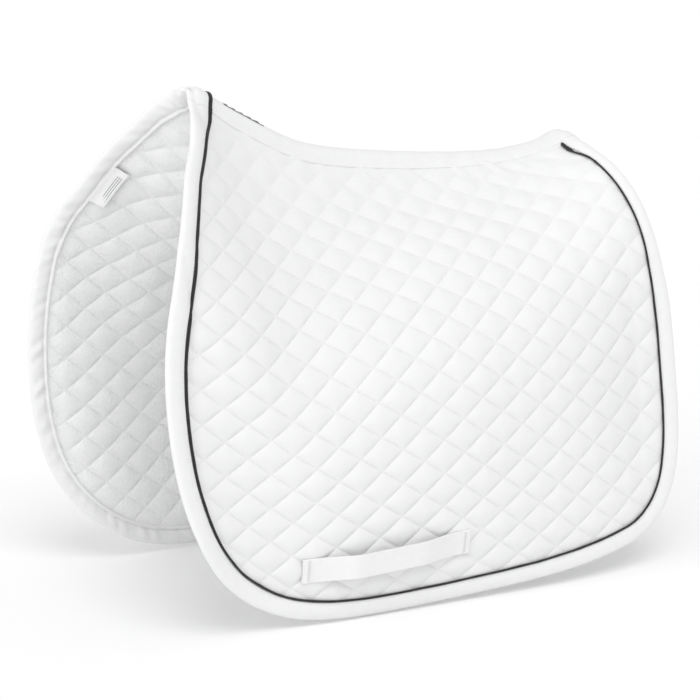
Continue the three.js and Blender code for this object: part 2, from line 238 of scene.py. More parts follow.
def growing(value, foot, low, high):
    """From foot, below low, to 1, above high."""
    return foot + (1 - foot) * smooth(value, low, high)


def spine_curve(x):
    along = np.clip(x - SPINE_FRONT_X, 0, SPINE_LENGTH)
    ahead = np.minimum(x - SPINE_FRONT_X, 0) * FRONT_SLOPE
    behind = np.maximum(x - SPINE_REAR_X, 0) * REAR_SLOPE
    fall = WITHERS_RISE * np.exp(-along / WITHERS_LENGTH) - SPINE_FALL * along
    return fall + REAR_LIFT * (along / SPINE_LENGTH) ** LIFT_POWER + ahead + behind


def spine_height(x):
    return spine_curve(np.asarray(x, float)) - spine_curve(np.zeros(()))


def crest_shift(x, arc):
    """How much higher the cloth stands than the spine's curve and the slopes say."""
    at = np.clip(x, SPINE_FRONT_X - FRONT_OVERRUN, SPINE_REAR_X)
    drop = FRONT_DROP * np.exp(-(at - SPINE_FRONT_X) / FRONT_DROP_LENGTH)
    swell = WITHER_SWELL * np.exp(-((at - WITHER_SWELL_X) / WITHER_SWELL_LENGTH) ** 2)
    reach = np.abs(arc)
    drop_reach = np.where(arc < 0, NEAR_DROP_REACH, FAR_DROP_REACH)
    lift = FAR_LIFT * window(arc, FAR_LIFT_ARCS) * (1 - smooth(x, *FAR_LIFT_X))
    sink = FAR_REAR_DROP * window(arc, FAR_REAR_ARCS) * smooth(x, *FAR_REAR_X)
    return (swell * (1 - smooth(reach, 0, WITHER_SWELL_REACH))
            - drop * (1 - smooth(reach, 0, drop_reach)) + lift - sink)


def arc_of(x, v):
    return v + PATTERN_SHRINK * spine_height(x)


def pattern_v(x, arc):
    return arc - PATTERN_SHRINK * spine_height(x)


def slope_table(x):
    """Slope in radians at every arc station, for each x."""
    at = np.clip(x, *SLOPE_ENDS)[..., None]
    a, b, c = SLOPE_STATIONS
    front, middle, rear = (np.array(row, float) for row in SLOPES)
    slope = (at - b) * (at - c) / ((a - b) * (a - c)) * front
    slope = slope + (at - a) * (at - c) / ((b - a) * (b - c)) * middle
    return np.radians(slope + (at - a) * (at - b) / ((c - a) * (c - b)) * rear)


def surface(x, arc):
    """Points of the pad's middle surface, in millimetres."""
    x, arc = np.broadcast_arrays(np.asarray(x, float), np.asarray(arc, float))
    slopes = slope_table(x)
    reach = np.abs(arc)
    across = np.zeros_like(reach)
    drop = np.zeros_like(reach)
    for k in range(len(ARC_STATIONS) - 1):
        length = ARC_STATIONS[k + 1] - ARC_STATIONS[k]
        run = np.maximum(reach - ARC_STATIONS[k], 0)
        if k + 2 < len(ARC_STATIONS):
            run = np.minimum(run, length)
        turn = (slopes[..., k + 1] - slopes[..., k]) * run / length
        middle = slopes[..., k] + turn / 2
        chord = run * np.sinc(turn / 2 / math.pi)
        across = across + chord * np.cos(middle)
        drop = drop + chord * np.sin(middle)
    z = LAYER_HALF + spine_height(x) + crest_shift(x, arc) - drop
    return np.stack([x, np.sign(arc) * across, z], -1)


def unit(vectors):
    return vectors / np.linalg.norm(vectors, axis=-1, keepdims=True)


def point_at(x, arc, height):
    """Points at a height above (+) or under (-) the middle surface."""
    x, arc, height = np.broadcast_arrays(*(np.asarray(k, float) for k in (x, arc, height)))
    across = surface(x, arc + 1) - surface(x, arc - 1)
    ahead = surface(x + 1, arc) - surface(x - 1, arc)
    return surface(x, arc) + unit(np.cross(ahead, across)) * height[..., None]


# ---- outline of a flap

def bezier(corners, count):
    t = np.linspace(0, 1, count)[:, None]
    a, b, c, d = (np.array(p, float) for p in corners)
    return (1 - t) ** 3 * a + 3 * (1 - t) ** 2 * t * b + 3 * (1 - t) * t * t * c + t ** 3 * d


def hem_line(count=160):
    """The hem in the flat pattern, from the front crest round to the rear crest."""
    front_crest = (SPINE_FRONT_X, float(pattern_v(SPINE_FRONT_X, 0)))
    rear_crest = (SPINE_REAR_X, float(pattern_v(SPINE_REAR_X, 0)))
    curves = ((front_crest, (-256, 34), (-335, 148), (-333, 306)),
              ((-333, 306), (-331, 450), (-285, 537), (-159, 571)),
              ((-159, 571), (-49, 601), (142, 597), (286, 565)),
              ((286, 565), (356, 549), (366, 476), (365, 386)),
              ((365, 386), (364, 298), (366, 121), rear_crest))
    return np.concatenate([bezier(c, count)[(k > 0):] for k, c in enumerate(curves)])


HEM = hem_line()
HEM_DISTANCE = np.concatenate([[0], np.cumsum(np.linalg.norm(np.diff(HEM, axis=0), axis=1))])
HEM_LENGTH = float(HEM_DISTANCE[-1])
HEM_TANGENT = unit(np.gradient(HEM, axis=0))


def hem_station(distance):
    """Points of the hem and the directions into the pad, in the flat pattern."""
    point = np.stack([np.interp(distance, HEM_DISTANCE, HEM[:, k]) for k in (0, 1)], -1)
    tangent = np.stack([np.interp(distance, HEM_DISTANCE, HEM_TANGENT[:, k]) for k in (0, 1)], -1)
    tangent = unit(tangent)
    return point, np.stack([tangent[:, 1], -tangent[:, 0]], -1)


def hem_shift(distance, inset, side):
    """How much further into the pad the tape lies than in the CAD.
    It reaches out over both crests, and the near flap's tape is narrower beside them."""
    from_rear = HEM_LENGTH - distance
    near = side < 0
    crest = 1 - smooth(distance, *CREST_RAMP)
    rear = 1 - smooth(from_rear, *CREST_RAMP)
    swing = window(distance, SWING_WINDOW) * near
    narrow = window(distance, NARROW_WINDOW) * near
    rear_narrow = window(from_rear, REAR_NARROW_WINDOW) * near
    rim = np.clip(1 - inset / PIPING_INSET, 0, RIM_MOST)
    whole = NEAR_SWING * swing - CREST_REACH * crest - REAR_REACH * rear
    at_rim = RIM_NARROWING * narrow + REAR_NARROWING * rear_narrow - RIM_REACH * crest
    return whole[:, None] + at_rim[:, None] * rim


def hem_frame(distance, inset, side):
    """x and arc at insets from the hem, as arrays of distance by inset.
    Near the crest the inset runs along the spine, so both flaps meet in the middle plane."""
    inset = np.broadcast_to(np.asarray(inset, float), (len(distance), np.shape(inset)[-1]))
    inset = inset + hem_shift(distance, inset, side)
    point, inward = hem_station(distance)
    near_end = np.minimum(distance, HEM_LENGTH - distance)
    turn = smooth(near_end, 0, NEAR_TURN if side < 0 else FAR_TURN)[:, None]
    along = np.where(distance[:, None] < HEM_LENGTH / 2, [1.0, 0.0], [-1.0, 0.0])
    inward = unit(along * (1 - turn) + inward * turn)
    flat = point[:, None, :] + inward[:, None, :] * inset[..., None]
    own = arc_of(point[:, 0], point[:, 1])[:, None]
    arc = own * (1 - turn) + arc_of(flat[..., 0], flat[..., 1]) * turn
    return flat[..., 0], np.maximum(arc, 0)


def hem_distance(arc, from_rear):
    """Distance along the hem at which its arc length from the crest passes a value."""
    arcs = arc_of(HEM[:, 0], HEM[:, 1])
    half = len(arcs) // 2
    if from_rear:
        return float(np.interp(arc, arcs[:half:-1], HEM_DISTANCE[:half:-1]))
    return float(np.interp(arc, arcs[:half], HEM_DISTANCE[:half]))


def distance_inside(points):
    """Distance from the hem of points in the flat pattern, positive inside."""
    every, batch = 3, 4000
    line = HEM[::every]
    inward = np.stack([HEM_TANGENT[::every, 1], -HEM_TANGENT[::every, 0]], -1)
    found = np.empty(len(points))
    for start in range(0, len(points), batch):
        away = points[start:start + batch, None, :] - line[None]
        nearest = np.linalg.norm(away, axis=2).argmin(1)
        chosen = away[np.arange(len(nearest)), nearest]
        sign = np.sign((chosen * inward[nearest]).sum(1))
        found[start:start + batch] = sign * np.linalg.norm(chosen, axis=1)
    return found


# ---- meshes

def make_piece(name, points, quads, material, pattern=None, quilt=None):
    """A smooth mesh of quads from points in millimetres. pattern is its UV map in metres."""
    points = np.asarray(points, float)
    quads = np.asarray(quads, np.int32)
    corners = points[quads]
    volume = (corners[:, 0] * np.cross(corners[:, 1], corners[:, 2])).sum()
    volume = volume + (corners[:, 0] * np.cross(corners[:, 2], corners[:, 3])).sum()
    if volume < 0:
        quads = quads[:, ::-1]
    mesh = bpy.data.meshes.new(name)
    mesh.vertices.add(len(points))
    mesh.vertices.foreach_set("co", (points * MM).ravel())
    mesh.loops.add(quads.size)
    mesh.loops.foreach_set("vertex_index", np.ascontiguousarray(quads).ravel())
    mesh.polygons.add(len(quads))
    mesh.polygons.foreach_set("loop_start", np.arange(0, quads.size, 4, dtype=np.int32))
    mesh.polygons.foreach_set("use_smooth", np.ones(len(quads), bool))
    mesh.update(calc_edges=True)
    mesh.validate()
    for label, values in (("pattern", pattern), ("quilt", quilt)):
        if values is not None:
            layer = mesh.uv_layers.new(name=label)
            layer.data.foreach_set("uv", np.asarray(values, np.float32)[quads].ravel())
    mesh.materials.append(material)
    obj = bpy.data.objects.new(name, mesh)
    bpy.context.scene.collection.objects.link(obj)
    return obj


def rim_of(quads):
    """Directed edges that only one quad has."""
    edges = np.concatenate([np.stack([quads[:, k], quads[:, (k + 1) % 4]], 1) for k in range(4)])
    known = {(int(a), int(b)) for a, b in edges}
    return np.array([(a, b) for a, b in known if (b, a) not in known])


def sheet_piece(name, top, back, quads, material, *maps):
    """The closed solid between two copies of a grid, with the same maps on both."""
    count = len(top)
    rim = rim_of(quads)
    rim = rim[np.lexsort((rim[:, 1], rim[:, 0]))]
    sides = np.stack([rim[:, 1], rim[:, 0], rim[:, 0] + count, rim[:, 1] + count], 1)
    faces = np.concatenate([quads, quads[:, ::-1] + count, sides])
    doubled = (np.concatenate([values, values]) for values in maps)
    return make_piece(name, np.concatenate([top, back]), faces, material, *doubled)


def grid_quads(rows, columns):
    index = np.arange(rows * columns).reshape(rows, columns)
    corners = [index[:-1, :-1], index[:-1, 1:], index[1:, 1:], index[1:, :-1]]
    return np.stack(corners, -1).reshape(-1, 4)


def tube_quads(count, sides):
    """Quads round a tube of rings of an even number of points, and over its two ends."""
    index = np.arange(count * sides).reshape(count, sides)
    over = np.roll(index, -1, axis=1)
    quads = np.stack([index[:-1], over[:-1], over[1:], index[1:]], -1).reshape(-1, 4)
    caps = []
    for ring, order in ((index[0], 1), (index[-1], -1)):
        for k in range(sides // 2 - 1):
            caps.append([ring[k], ring[k + 1], ring[-2 - k], ring[-1 - k]][::order])
    return np.concatenate([quads, np.array(caps)])


def around_section(section):
    """Distance of a section's points from its first one, round the section."""
    steps = np.linalg.norm(np.diff(section, axis=0), axis=1)
    return np.concatenate([[0], np.cumsum(steps)])


def flat_pattern(along, around):
    """A UV map in metres from two distances in millimetres."""
    return np.stack(np.broadcast_arrays(along, around), -1).reshape(-1, 2) * MM


def swept(name, rings, material, pattern=None):
    """Closed sweep through rings of an even number of points."""
    return make_piece(name, rings.reshape(-1, 3), tube_quads(*rings.shape[:2]), material, pattern)


# A short thread's profile: place along its half length, share of its radius.
CAPSULE = ((-1, 0.05), (-0.86, 0.6), (-0.5, 1), (0.5, 1), (0.86, 0.6), (1, 0.05))


def capsules(name, centres, ahead, above, length, radius, material, sides=6, flatten=0.7):
    """Rows of short threads: one mesh of small closed capsules. ahead and above are points
    beside the centres, along the threads and off the cloth."""
    along = unit(ahead - centres)
    across = unit(np.cross(above - centres, along))
    lift = np.cross(along, across)
    shape = np.empty((len(centres), len(CAPSULE), sides, 3))
    length = np.broadcast_to(length, len(centres))
    for i, (place, width) in enumerate(CAPSULE):
        for j in range(sides):
            angle = j * 2 * math.pi / sides
            shape[:, i, j] = (centres + along * (place * length / 2)[:, None]
                              + across * (radius * width * math.cos(angle))
                              + lift * (radius * flatten * width * math.sin(angle)))
    one = tube_quads(len(CAPSULE), sides)
    step = np.arange(len(centres))[:, None, None] * len(CAPSULE) * sides
    return make_piece(name, shape.reshape(-1, 3), (one[None] + step).reshape(-1, 4), material)


def ripples(u, w, scale, seed, waves=7):
    """Smooth repeatable unevenness in about -1 to 1, from a few sine waves."""
    rng = np.random.default_rng(seed)
    total = np.zeros(np.broadcast(u, w).shape)
    for _ in range(waves):
        angle = rng.uniform(0, math.pi)
        phase = rng.uniform(0, 6.28)
        size = rng.uniform(0.7, 1.6)
        step = 2 * math.pi / (scale * size)
        total = total + np.sin(step * (u * math.cos(angle) + w * math.sin(angle)) + phase)
    return total / 4


# ---- materials

class Surface:
    """A Principled material and short ways to add nodes to it."""

    def __init__(self, name, color, roughness, sheen=0.0, specular=0.3):
        self.material = bpy.data.materials.new(name)
        self.material.use_nodes = True
        self.nodes = self.material.node_tree.nodes
        self.links = self.material.node_tree.links
        self.shader = self.nodes["Principled BSDF"]
        values = {"Base Color": (*color, 1), "Roughness": roughness, "Sheen Weight": sheen,
                  "Sheen Roughness": 0.6, "Specular IOR Level": specular}
        for key, value in values.items():
            self.shader.inputs[key].default_value = value

    def add(self, kind, settings=(), **inputs):
        """A node whose inputs go by name, or by number as i0, i1 and so on."""
        node = self.nodes.new("ShaderNode" + kind)
        for key, value in dict(settings).items():
            setattr(node, key, value)
        for key, value in inputs.items():
            numbered = key[0] == "i" and key[1:].isdigit()
            self.feed(node.inputs[int(key[1:]) if numbered else key], value)
        return node

    def feed(self, socket, value):
        if isinstance(value, bpy.types.NodeSocket):
            self.links.new(value, socket)
        else:
            socket.default_value = value

    def math(self, operation, *values):
        node = self.nodes.new("ShaderNodeMath")
        node.operation = operation
        for socket, value in zip(node.inputs, values):
            self.feed(socket, value)
        return node.outputs[0]

    def total(self, *weighted):
        """The sum of values, each times its weight."""
        result = 0.0
        for value, weight in weighted:
            result = self.math("MULTIPLY_ADD", value, weight, result)
        return result

    def between(self, value, low, high):
        """1 where a value is between two others, and 0 elsewhere."""
        above, below = self.math("GREATER_THAN", value, low), self.math("LESS_THAN", value, high)
        return self.math("MULTIPLY", above, below)

    def uv(self, name):
        node = self.nodes.new("ShaderNodeUVMap")
        node.uv_map = name
        return node.outputs[0]

    def place(self):
        return self.add("TexCoord").outputs["Object"]

    def noise(self, vector, scale, detail=3.0):
        return self.add("TexNoise", Vector=vector, Scale=scale, Detail=detail).outputs[0]

    def wave(self, vector, scale, degrees, distortion=0.4):
        turn = (0, 0, math.radians(degrees))
        turned = self.add("Mapping", Vector=vector, Rotation=turn).outputs[0]
        return self.add("TexWave", Vector=turned, Scale=scale, Distortion=distortion).outputs[0]

    def tint(self, factor, dark, light):
        mixed = self.add("Mix", {"data_type": "RGBA"}, i0=factor, i6=(*dark, 1), i7=(*light, 1))
        self.feed(self.shader.inputs["Base Color"], mixed.outputs[2])

    def rough(self, factor, low, high):
        ranged = self.add("MapRange", i0=factor, i3=low, i4=high)
        self.feed(self.shader.inputs["Roughness"], ranged.outputs[0])

    def bump(self, height, distance, strength=1.0):
        bump = self.add("Bump", Height=height, Distance=distance, Strength=strength)
        self.feed(self.shader.inputs["Normal"], bump.outputs[0])


def stitch_line(s, quilt):
    """Thread height along the quilting's stitch lines, from the quilt map's s and t."""
    parts = s.add("SeparateXYZ", i0=quilt)
    spacing = 2 * DIAMOND_HALF_WIDTH * DIAMOND_HALF_HEIGHT / CELL_SIDE
    thread_half, softness, hole = 0.55, 0.2, 0.1
    lines = []
    for across, along in ((0, 1), (1, 0)):
        gap = s.math("MULTIPLY", s.math("PINGPONG", parts.outputs[across], 0.5), spacing)
        fade = s.math("SMOOTH_MIN", s.math("DIVIDE", gap, thread_half), 1.0, softness)
        thread = s.math("SUBTRACT", 1.0, fade)
        place = s.math("MULTIPLY", parts.outputs[along], CELL_SIDE / STITCH_PITCH)
        dash = s.math("GREATER_THAN", s.math("PINGPONG", place, 0.5), hole)
        lines.append(s.math("MULTIPLY", thread, dash))
    return s.math("MAXIMUM", *lines)


def cotton_material():
    s = Surface("cotton_cover", (0.9, 0.9, 0.895), roughness=0.85, sheen=0.15, specular=0.2)
    pattern = s.uv("pattern")
    twill = s.wave(pattern, scale=290, degrees=62)
    cross = s.wave(pattern, scale=420, degrees=-28)
    weave = s.total((twill, 0.7), (cross, 0.3))
    slub = s.noise(pattern, scale=60, detail=4)
    thread = stitch_line(s, s.uv("quilt"))
    height = s.total((weave, 0.35), (slub, 0.65), (thread, 1))
    s.bump(height, distance=0.00022, strength=0.6)
    clouds = s.noise(pattern, scale=9, detail=5)
    s.tint(clouds, dark=(0.79, 0.792, 0.796), light=(0.835, 0.836, 0.836))
    s.rough(slub, low=0.78, high=0.92)
    return s.material


def plain_cotton_material():
    s = Surface("plain_cotton", (0.9, 0.9, 0.895), roughness=0.82, sheen=0.15, specular=0.2)
    pattern = s.uv("pattern")
    weave = s.wave(pattern, scale=290, degrees=62)
    slub = s.noise(pattern, scale=80, detail=4)
    s.bump(s.total((weave, 0.4), (slub, 1)), distance=0.0002, strength=0.6)
    s.tint(slub, dark=(0.8, 0.802, 0.805), light=(0.845, 0.846, 0.846))
    return s.material


def terry_material():
    s = Surface("terry_lining", (0.78, 0.785, 0.79), roughness=0.95, sheen=0.5, specular=0.1)
    pattern = s.uv("pattern")
    loops = s.add("TexVoronoi", Vector=pattern, Scale=520, Randomness=1.0).outputs[0]
    pile = s.noise(pattern, scale=240, detail=6)
    soft = s.noise(pattern, scale=26, detail=4)
    s.bump(s.total((loops, -0.6), (pile, 1.4)), distance=0.0009, strength=0.75)
    shade = s.total((pile, 0.55), (soft, 0.5))
    s.tint(shade, dark=(0.8, 0.803, 0.808), light=(0.93, 0.932, 0.934))
    return s.material


def tape_material():
    s = Surface("binding_tape", (0.92, 0.92, 0.918), roughness=0.68, sheen=0.1, specular=0.3)
    pattern = s.uv("pattern")
    ribs = s.wave(pattern, scale=380, degrees=0, distortion=0.2)
    slub = s.noise(pattern, scale=90, detail=3)
    s.bump(s.total((ribs, 0.5), (slub, 1)), distance=0.00018, strength=0.55)
    s.tint(slub, dark=(0.81, 0.812, 0.814), light=(0.855, 0.856, 0.856))
    s.rough(ribs, low=0.62, high=0.76)
    return s.material


def piping_material():
    s = Surface("piping_cloth", (0.008, 0.008, 0.009), roughness=0.6, sheen=0.12, specular=0.35)
    pattern = s.uv("pattern")
    braid = s.wave(pattern, scale=260, degrees=38, distortion=0.1)
    s.bump(braid, distance=0.00025, strength=0.8)
    worn = s.math("MULTIPLY", braid, s.noise(pattern, scale=150))
    s.tint(worn, dark=(0.004, 0.004, 0.005), light=(0.022, 0.022, 0.024))
    return s.material


def webbing_material():
    s = Surface("girth_webbing", (0.9, 0.9, 0.9), roughness=0.62, sheen=0.1, specular=0.35)
    pattern = s.uv("pattern")
    warp = s.wave(pattern, scale=330, degrees=90, distortion=0.1)
    weft = s.wave(pattern, scale=300, degrees=0, distortion=0.1)
    s.bump(s.total((warp, 1), (weft, 1.2)), distance=0.00022, strength=0.8)
    shade = s.noise(pattern, scale=120)
    s.tint(shade, dark=(0.91, 0.912, 0.913), light=(0.95, 0.95, 0.949))
    s.rough(warp, low=0.55, high=0.72)
    return s.material


def thread_material(name, color, roughness):
    s = Surface(name, color, roughness, specular=0.45)
    strands = s.noise(s.place(), scale=2600.0, detail=2.0)
    s.bump(strands, distance=0.0001, strength=0.6)
    s.tint(strands, dark=tuple(0.8 * c for c in color), light=color)
    return s.material


def label_material():
    """White satin with plain grey bars where the printing would be, sized in metres."""
    s = Surface("label_satin", (0.93, 0.93, 0.93), roughness=0.4, specular=0.5)
    pattern = s.uv("pattern")
    parts = s.add("SeparateXYZ", i0=pattern)
    along, across = parts.outputs[0], parts.outputs[1]
    bar_pitch, bar_start, bar_middle = 0.0026, 0.008, 0.026
    first_row, last_row = 0.0095, 0.0175
    row = s.math("PINGPONG", s.math("MULTIPLY", across, 1 / bar_pitch), 0.5)
    rows = s.math("GREATER_THAN", row, 0.3)
    per_row = s.add("Mapping", Vector=pattern, Scale=(0, 900, 1)).outputs[0]
    ends = s.math("MULTIPLY_ADD", s.noise(per_row, scale=1.0, detail=0), bar_middle, bar_middle)
    printed = s.math("MULTIPLY", s.between(along, bar_start, ends),
                     s.between(across, first_row, last_row))
    bars = s.math("MULTIPLY", rows, printed)
    s.tint(bars, dark=(0.9, 0.9, 0.9), light=(0.36, 0.36, 0.37))
    satin = s.wave(pattern, scale=500, degrees=0, distortion=0.0)
    s.bump(satin, distance=0.00006, strength=0.5)
    return s.material


def floor_material():
    s = Surface("studio_floor", (0.93, 0.93, 0.93), roughness=0.9)
    mottle = s.noise(s.place(), scale=3, detail=4)
    s.tint(mottle, dark=(0.985, 0.985, 0.985), light=(0.99, 0.99, 0.99))
    return s.material


def bend(obj):
    """Bakes the piece's transform into its mesh and returns the piece."""
    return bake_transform(obj)


# ---- quilted faces

CELL_STEPS = (0, 0.03, 0.085, 0.16, 0.26, 0.38, 0.5, 0.62, 0.74, 0.84, 0.915, 0.97)
PATCH_CELLS = 6
PATCH_REPEAT = 4
START_BULGE = 0.35
SIMULATED_FRAMES = 18
CLOTH = {"quality": 6, "mass": 0.25, "tension_stiffness": 8, "compression_stiffness": 8,
         "shear_stiffness": 4, "bending_stiffness": 0.3, "use_pressure": True,
         "uniform_pressure_force": 8, "vertex_group_mass": "pins"}

# The grid's box in the flat pattern, and how far it goes under the band and the tape.
GRID_X = (-345, 375)
GRID_V = (-120, 610)
GRID_FROM_ARC = 19
GRID_FROM_HEM = 5

# The share of the puff that is left along the tape and the band, and where it is whole again.
HEM_FLATTENING = (0.3, 18, 44)
BAND_FLATTENING = (0.55, BAND_HALF, 120)
BAND_EDGE = (BAND_HALF - 1, BAND_HALF + 14)
CREST_POWER_ARCS = (60, 260)
COVER_RANGE = (0.6, 5.6)

# Heights in millimetres of what the sewing does to the faces.
PULL = 0.9
PULL_LENGTH = 34
CREASE = 0.22
FINE_CREASE = 0.09
FOLD = 0.3
FOLD_PITCH = 15
FOLD_X = (60, 240)
FOLD_ARCS = ((28, 50), (120, 210))
WEBBING_MARGIN = (4, 8)
UNDER_WEBBING = 4.8
BACK_HEIGHT = 0.2


def bulge(s, t):
    """0 along the stitch lines and 1 in the middle of a diamond."""
    return np.abs(np.sin(math.pi * s) * np.sin(math.pi * t))


def patch_relief():
    """Offsets (x, y, height) of cloth blown up between its stitch lines, at grid points.
    A flat patch of quilting is simulated once, pinned there; the middle cells are kept."""
    steps = len(CELL_STEPS)
    line = (np.arange(PATCH_CELLS)[:, None] + np.array(CELL_STEPS)[None]).ravel()
    line = np.append(line, PATCH_CELLS)
    s, t = (g.ravel() for g in np.meshgrid(line, line, indexing="ij"))
    flat = np.stack([DIAMOND_HALF_WIDTH * (s + t), DIAMOND_HALF_HEIGHT * (s - t), 0 * s], 1)
    start = flat.copy()
    start[:, 2] = START_BULGE * bulge(s, t) * (1 + 0.5 * ripples(s, t, scale=0.6, seed=3))
    quads = grid_quads(len(line), len(line))
    patch = make_piece("quilt_patch", start, quads, MATERIALS["cotton"])
    if patch.data.polygons[0].normal.z < 0:
        patch.data.flip_normals()
    stitched = (np.abs(s - np.round(s)) < 1e-6) | (np.abs(t - np.round(t)) < 1e-6)
    pins = patch.vertex_groups.new(name="pins")
    pins.add([int(k) for k in np.flatnonzero(stitched)], 1.0, "REPLACE")
    cloth = patch.modifiers.new("cloth", "CLOTH")
    for key, value in CLOTH.items():
        setattr(cloth.settings, key, value)
    cloth.settings.effector_weights.gravity = 0
    cloth.point_cache.frame_start = 1
    cloth.point_cache.frame_end = SIMULATED_FRAMES
    scene = bpy.context.scene
    for number in range(1, SIMULATED_FRAMES + 1):
        scene.frame_set(number)
    blown = patch.evaluated_get(bpy.context.evaluated_depsgraph_get()).data
    moved = np.empty(len(flat) * 3)
    blown.vertices.foreach_get("co", moved)
    scene.frame_set(1)
    bpy.data.objects.remove(patch)
    offset = moved.reshape(-1, 3) / MM - flat
    offset = offset.reshape(len(line), len(line), 3)
    return offset[steps:steps * (PATCH_REPEAT + 1), steps:steps * (PATCH_REPEAT + 1)]


def quilt_grid(side):
    """A grid along the stitch lines, cut to the flap: its x, v, s, t and quads, and its
    relief for the outer and the inner face."""
    start_x, start_v = QUILT_START[side]
    a = (np.repeat(GRID_X, 2) - start_x) / DIAMOND_HALF_WIDTH
    b = (np.tile(GRID_V, 2) - start_v) / DIAMOND_HALF_HEIGHT
    lines = []
    for ends in ((a + b) / 2, (a - b) / 2):
        whole = np.arange(math.floor(ends.min()), math.ceil(ends.max()) + 1)
        lines.append((whole[:, None] + np.array(CELL_STEPS)[None]).ravel())
    s, t = (g.ravel() for g in np.meshgrid(*lines, indexing="ij"))
    counts = (np.arange(len(line)) for line in lines)
    period = PATCH_REPEAT * len(CELL_STEPS)
    row, column = (k.ravel() % period for k in np.meshgrid(*counts, indexing="ij"))
    x = start_x + DIAMOND_HALF_WIDTH * (s + t)
    v = start_v + DIAMOND_HALF_HEIGHT * (s - t)
    box = (x > GRID_X[0]) & (x < GRID_X[1]) & (v > GRID_V[0]) & (v < GRID_V[1])
    box = box & (arc_of(x, v) > GRID_FROM_ARC)
    inside = np.zeros(len(x), bool)
    inside[box] = distance_inside(np.stack([x[box], v[box]], 1)) > GRID_FROM_HEM
    quads = grid_quads(len(lines[0]), len(lines[1]))
    quads = quads[inside[quads].all(1)]
    used = np.unique(quads)
    renumber = np.full(len(x), -1)
    renumber[used] = np.arange(len(used))
    outer = RELIEF[row[used], column[used]]
    inner = RELIEF[column[used], row[used]] * (1, -1, 1)
    return x[used], v[used], s[used], t[used], renumber[quads], (outer, inner)


def quilt_offsets(side, face, x, v, s, t, relief):
    """Offsets of a quilted face along the pattern, and its height over the middle surface."""
    inset = distance_inside(np.stack([x, v], 1))
    arc = arc_of(x, v)
    # chance is a repeatable number from 0 to 1 for each diamond.
    cell = np.floor(s) * 131 + np.floor(t) * 17 + side * 7 + face * 3
    chance = np.modf(np.abs(np.sin(cell * 12.9898) * 43758.5453))[0]
    top = np.percentile(relief[:, 2], 96)
    crown = CROWN_POWER + (CREST_POWER - CROWN_POWER) * (1 - smooth(arc, *CREST_POWER_ARCS))
    puff = PUFF * (0.9 + 0.2 * chance) * np.clip(relief[:, 2] / top, 0, 1.1) ** crown
    edge = smooth(arc, *BAND_EDGE)
    whole = growing(inset, *HEM_FLATTENING) * growing(arc, *BAND_FLATTENING) * edge
    foot = PUFF_FOOT + 0.5 * (1 - smooth(arc, BAND_HALF, 45))
    pull = np.exp(-((arc - BAND_HALF) / PULL_LENGTH) ** 2) * smooth(inset, 10, 40)
    pull = PULL * pull * ripples(x - v * 0.75, v * 0.2, scale=17, seed=5 + face)
    crease = CREASE * ripples(x, v, scale=17, seed=11 + side) * bulge(s, t) ** 0.5
    crease = crease + FINE_CREASE * ripples(x, v, scale=7, seed=23 + side + face)
    bent = 0.35 * ripples(x * 0.35, v * 0.2, scale=30, seed=71 + face)
    folds = FOLD * np.sin(2 * math.pi * (arc / FOLD_PITCH + bent))
    folds = folds * smooth(x, *FOLD_X) * window(arc, FOLD_ARCS)
    height = foot + puff * whole + (crease + folds) * edge + pull
    shift = relief[:, :2] * whole[:, None]
    return shift[:, 0], shift[:, 1], np.clip(height, *COVER_RANGE)


def quilted_flap(prefix, side):
    x, v, s, t, quads, reliefs = quilt_grid(side)
    arc = side * arc_of(x, v)
    pattern = np.stack([x, v], 1) * MM
    quilt = np.stack([s, t], 1)
    under_webbing = ((np.abs(x - LOOP_X) < LOOP_LENGTH / 2 + WEBBING_MARGIN[0])
                     & (np.abs(v - LOOP_V) < LOOP_WIDTH / 2 + WEBBING_MARGIN[1]))
    made = []
    for face, label, material, sign in ((0, "_quilted_cover", MATERIALS["cotton"], 1),
                                        (1, "_quilted_lining", MATERIALS["terry"], -1)):
        across, down, height = quilt_offsets(side, face, x, v, s, t, reliefs[face])
        if face == 0:
            height = np.where(under_webbing, np.minimum(height, UNDER_WEBBING), height)
        top = point_at(x + across, arc + side * down, sign * height)
        back = point_at(x, arc, sign * BACK_HEIGHT)
        made.append(sheet_piece(prefix + label, top, back, quads, material, pattern, quilt))
    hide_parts(prefix + "_outer_cover", prefix + "_padding")
    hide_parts(prefix + "_lining")
    for obj in made:
        bend(obj)


# ---- spine band

BAND_FRONT_INSET = 8
BAND_REAR_REACH = 3
BAND_FOOT = 2.2
BAND_CROWN = 1.2
BAND_THICKNESS = 3.4
SEAM_TAPE_HALF = 25
SEAM_TAPE_CROWN = 1.6
SEAM_TAPE_THICKNESS = 1.4


def spine_edge_x(arc, rear):
    """x of the hem where it crosses the band, at an arc length on either side."""
    distance = np.array([hem_distance(a, rear) for a in np.abs(np.atleast_1d(arc))])
    return hem_station(distance)[0][:, 0]


def spine_sheet(name, half_arc, height_of, thickness, sign, material, columns=230, rows=37):
    """A sheet along the spine with both ends under the crest tapes. sign is 1 outside."""
    arcs = np.linspace(-half_arc, half_arc, rows)
    front = spine_edge_x(arcs, False) + BAND_FRONT_INSET
    rear = spine_edge_x(arcs, True) + BAND_REAR_REACH
    share = np.linspace(0, 1, columns)
    x = front[:, None] + (rear - front)[:, None] * share[None]
    arc = np.repeat(arcs[:, None], columns, 1)
    height = height_of(x, arc)
    top = point_at(x, arc, sign * height).reshape(-1, 3)
    back = point_at(x, arc, sign * (height - thickness)).reshape(-1, 3)
    quads = grid_quads(rows, columns)
    return sheet_piece(name, top, back, quads, MATERIALS[material], flat_pattern(x, arc))


